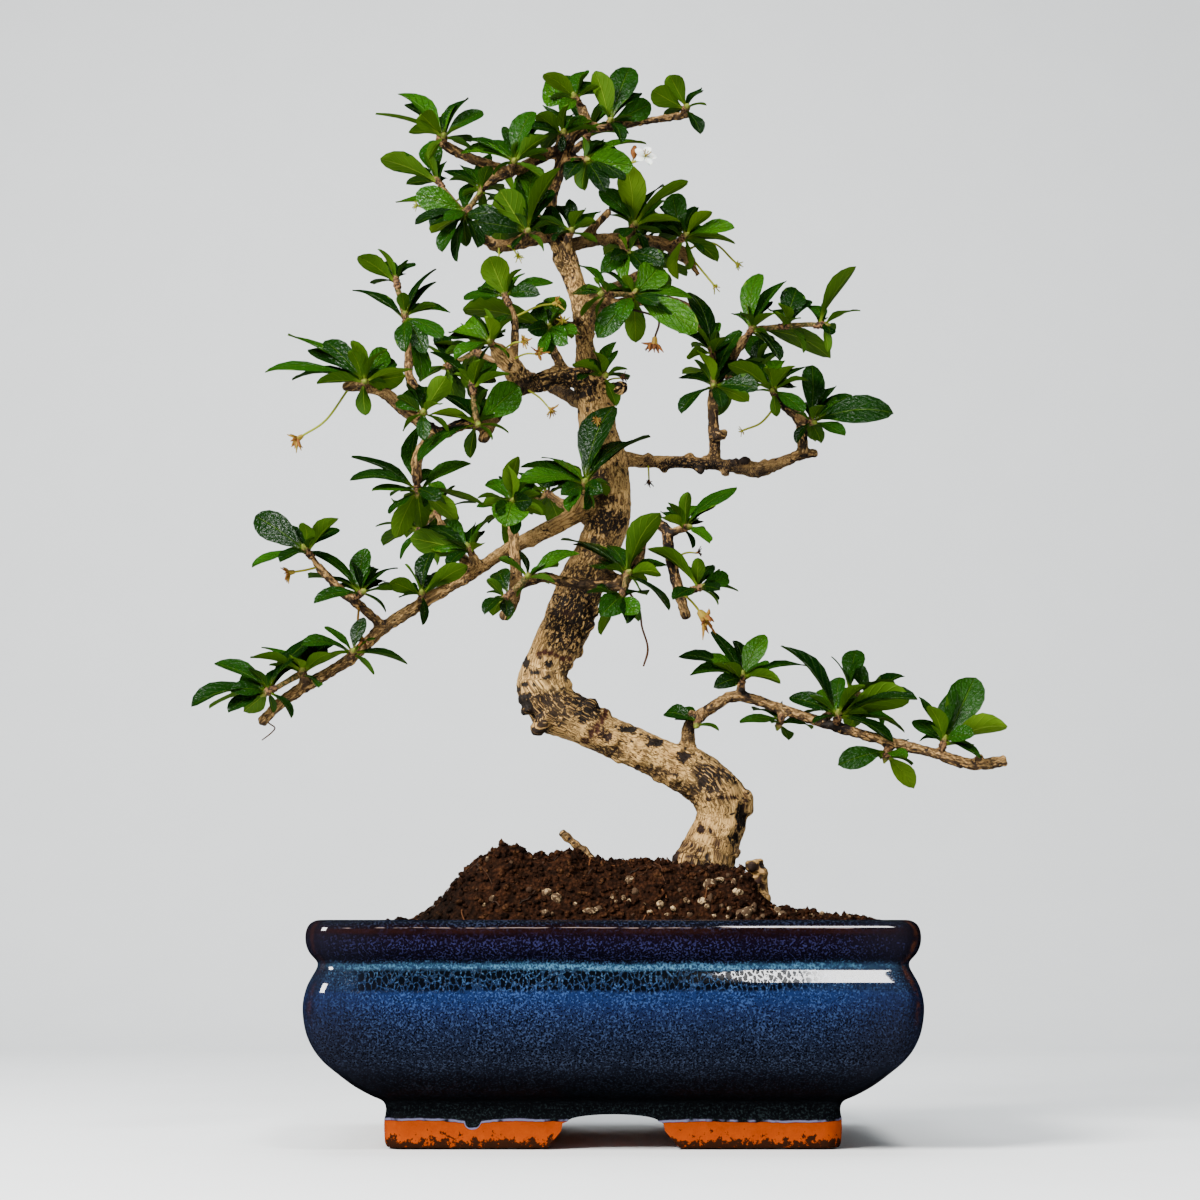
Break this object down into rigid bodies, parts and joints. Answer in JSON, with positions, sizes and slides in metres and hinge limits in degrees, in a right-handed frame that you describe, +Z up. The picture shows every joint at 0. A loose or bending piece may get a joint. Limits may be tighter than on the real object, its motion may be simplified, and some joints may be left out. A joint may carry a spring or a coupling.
{
  "type": "potted bonsai",
  "caption": "Fukien tea bonsai with a bent tan trunk and small glossy leaves, in a blue glazed rectangular pot with soil.",
  "frame": {"origin": "middle of the whole part's footprint box, on the surface its four feet stand on", "axes": "+Z up the tree, -Y out of the front that the picture shows, +X towards the viewer's right"},
  "size_m": [0.2678, 0.155, 0.3795],
  "materials": {
    "glaze": "glossy mottled blue glaze with a turquoise line in its groove, bare terracotta feet",
    "screen": "dull",
    "soil": "rough brown crumbs with white grit",
    "bark": "fissured pale bark",
    "dead_wood": "weathered",
    "petal": "soft white",
    "leaf": "glossy dark green above, lighter and duller below"
  },
  "bodies": {
    "root": {"pot": "glaze", "screen_left": "screen", "screen_right": "screen", "soil": "soil", "wood": "bark", "twig": "dead_wood", "flower": "petal", "leaves_crown_left_tip": "leaf", "leaves_crown_left_low": "leaf", "leaves_crown_left_inner": "leaf", "leaves_upper_left": "leaf", "leaves_leader_front": "leaf", "leaves_crown_top": "leaf", "leaves_crown_peak": "leaf", "leaves_crown_right": "leaf", "leaves_crown_front": "leaf", "leaves_crown_under": "leaf", "leaves_upper_right_inner": "leaf", "leaves_upper_right_tip": "leaf", "leaves_upper_right_under": "leaf", "leaves_upper_right_low": "leaf", "leaves_right_high": "leaf", "leaves_right_top": "leaf", "leaves_right_mid": "leaf", "leaves_right_out": "leaf", "leaves_left_hanging": "leaf", "leaves_low_left_inner": "leaf", "leaves_low_left_mid": "leaf", "leaves_front_twig": "leaf", "leaves_centre": "leaf", "leaves_centre_left": "leaf", "leaves_centre_low": "leaf", "leaves_arch_tip": "leaf", "leaves_arch_low": "leaf", "leaves_low_right_foot": "leaf", "leaves_low_right_inner": "leaf", "leaves_low_right_drop": "leaf", "leaves_low_right_mid": "leaf", "leaves_low_right_under": "leaf", "leaves_low_right_tip": "leaf", "leaves_low_left_tip": "leaf", "leaves_low_left_spur": "leaf", "leaves_left_low_tip": "leaf", "leaves_left_low_inner": "leaf", "leaves_left_tip": "leaf", "leaves_left_high": "leaf", "leaves_left_joint": "leaf", "leaves_mid_left_tip": "leaf", "leaves_mid_left_stub": "leaf", "leaves_mid_left_fork": "leaf", "leaves_mid_left_trunk": "leaf", "leaves_trunk_node": "leaf", "leaves_back_centre": "leaf", "leaves_back_right": "leaf", "leaves_back_left": "leaf", "leaves_back_upper_right": "leaf", "leaves_back_upper_left": "leaf", "leaves_back_crown": "leaf", "leaves_back_low_left": "leaf", "leaves_back_low_right": "leaf"}
  },
  "joints": []
}
